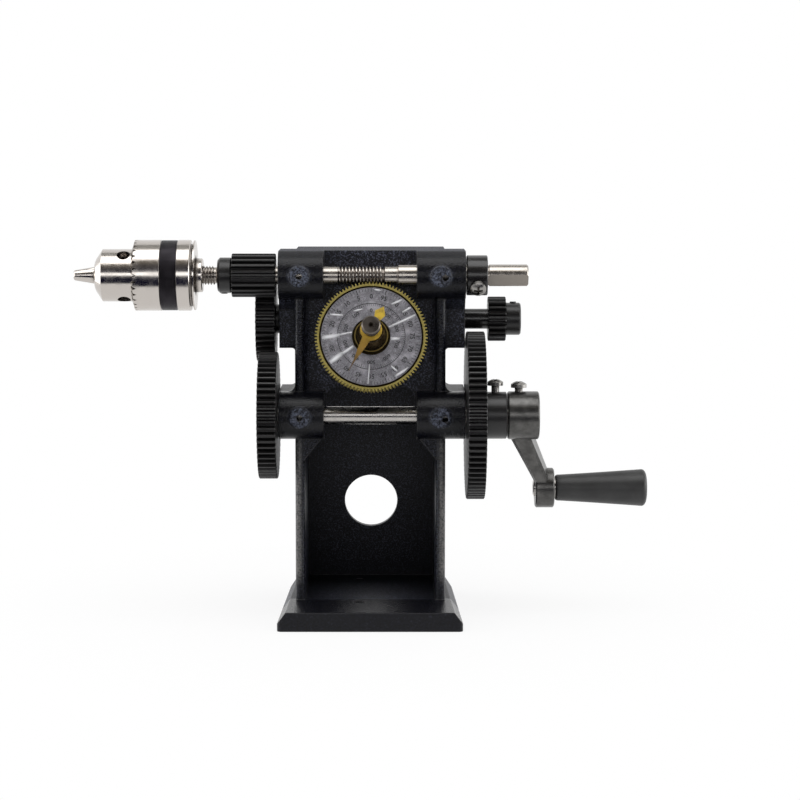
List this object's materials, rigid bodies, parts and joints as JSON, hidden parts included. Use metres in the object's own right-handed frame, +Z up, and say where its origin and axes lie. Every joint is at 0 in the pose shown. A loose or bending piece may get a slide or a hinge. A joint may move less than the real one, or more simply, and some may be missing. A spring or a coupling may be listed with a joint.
{
  "type": "wire coil winding machine",
  "caption": "Hand-cranked bench coil winder: cast frame, gear train from the crank to a chuck spindle, and a worm-driven turns dial.",
  "frame": {"origin": "centre of the foot's flat underside", "axes": "+Z up, +X along the shafts towards the crank, -Y towards the side of the dial"},
  "size_m": [0.3524, 0.1437, 0.2331],
  "materials": {
    "casting": "blue-black paint over rough sand-cast iron, worn bright on the edges",
    "black_gear": "black oxide, dull",
    "grey_iron": "dark grey, machined on the faces",
    "shaft_steel": "turned",
    "nickel": "bright nickel plate",
    "black_steel": "black oxide",
    "brass": "turned, slightly dull",
    "bright_steel": "turned, bright",
    "dial": "grey sheet under a thin clear film, black graduations",
    "pointer": "yellow lacquer",
    "grip": "black moulded plastic, slightly worn"
  },
  "bodies": {
    "frame": {"main_frame": "casting", "dial_post": "bright_steel", "post_nut": "black_steel", "wave_washer": "bright_steel"},
    "crank": {"crankshaft": "shaft_steel", "slow_drive_gear": "black_gear", "slow_gear_pin": "black_steel", "fast_drive_gear": "grey_iron", "gear_hub_screw": "nickel", "crank_arm": "grey_iron", "crank_screw": "nickel", "handle_pin": "shaft_steel", "handle_washer": "bright_steel"},
    "layshaft": {"layshaft": "shaft_steel", "layshaft_gear": "black_gear", "layshaft_gear_pin": "black_steel", "layshaft_pinion": "shaft_steel", "layshaft_grub_screw": "black_steel"},
    "spindle": {"spindle_shaft": "shaft_steel", "spindle_pinion": "black_gear", "spindle_grub_screw": "black_steel", "spindle_collar": "black_steel", "collar_screw": "nickel", "chuck_body": "nickel"},
    "sleeve": {"chuck_sleeve": "nickel", "chuck_ring_nut": "black_steel"},
    "jaw_1": {"chuck_jaw_1": "nickel"},
    "jaw_2": {"chuck_jaw_2": "nickel"},
    "jaw_3": {"chuck_jaw_3": "nickel"},
    "dial": {"count_wheel": "brass", "dial_plate": "dial"},
    "pointer": {"pointer_wheel": "brass", "pointer_sleeve": "brass", "sleeve_clip": "brass", "pointer_collar": "brass", "pointer": "pointer"},
    "grip": {"handle_grip": "grip"}
  },
  "joints": [
    {"name": "crank_spin", "type": "hinge", "parent": "frame", "child": "crank", "pos_m": [0, -0.025, 0.126], "axis": [1, 0, 0], "continuous": true},
    {"name": "layshaft_spin", "type": "hinge", "parent": "frame", "child": "layshaft", "pos_m": [0, -0.0003, 0.18341], "axis": [1, 0, 0], "continuous": true},
    {"name": "spindle_spin", "type": "hinge", "parent": "frame", "child": "spindle", "pos_m": [0, -0.025, 0.21163], "axis": [1, 0, 0], "continuous": true},
    {"name": "dial_spin", "type": "hinge", "parent": "frame", "child": "dial", "pos_m": [0.0007, -0.03698, 0.17475], "axis": [0, -0.9511, 0.309], "continuous": true},
    {"name": "pointer_spin", "type": "hinge", "parent": "frame", "child": "pointer", "pos_m": [0.0007, -0.03698, 0.17475], "axis": [0, -0.9511, 0.309], "continuous": true},
    {"name": "grip_spin", "type": "hinge", "parent": "crank", "child": "grip", "pos_m": [0.14, 0.00248, 0.07743], "axis": [1, 0, 0], "continuous": true},
    {"name": "sleeve_turn", "type": "hinge", "parent": "spindle", "child": "sleeve", "pos_m": [-0.1254, -0.025, 0.21163], "axis": [1, 0, 0], "range_deg": [0, 3350]},
    {"name": "jaw_1_slide", "type": "slide", "parent": "spindle", "child": "jaw_1", "axis": [0.9659, 0.1053, 0.2364], "range_m": [0, 0.014]},
    {"name": "jaw_2_slide", "type": "slide", "parent": "spindle", "child": "jaw_2", "axis": [0.9659, 0.1521, -0.2094], "range_m": [0, 0.014]},
    {"name": "jaw_3_slide", "type": "slide", "parent": "spindle", "child": "jaw_3", "axis": [0.9659, -0.2574, -0.0271], "range_m": [0, 0.014]}
  ],
  "couplings": [
    {"joint": "layshaft_spin", "follows": "crank_spin", "ratio": -1.5},
    {"joint": "spindle_spin", "follows": "crank_spin", "ratio": 3},
    {"joint": "dial_spin", "follows": "crank_spin", "ratio": 0.03},
    {"joint": "pointer_spin", "follows": "crank_spin", "ratio": 0.029703},
    {"joint": "jaw_1_slide", "follows": "sleeve_turn", "m_per_rad": 0.00023873},
    {"joint": "jaw_2_slide", "follows": "sleeve_turn", "m_per_rad": 0.00023873},
    {"joint": "jaw_3_slide", "follows": "sleeve_turn", "m_per_rad": 0.00023873}
  ]
}
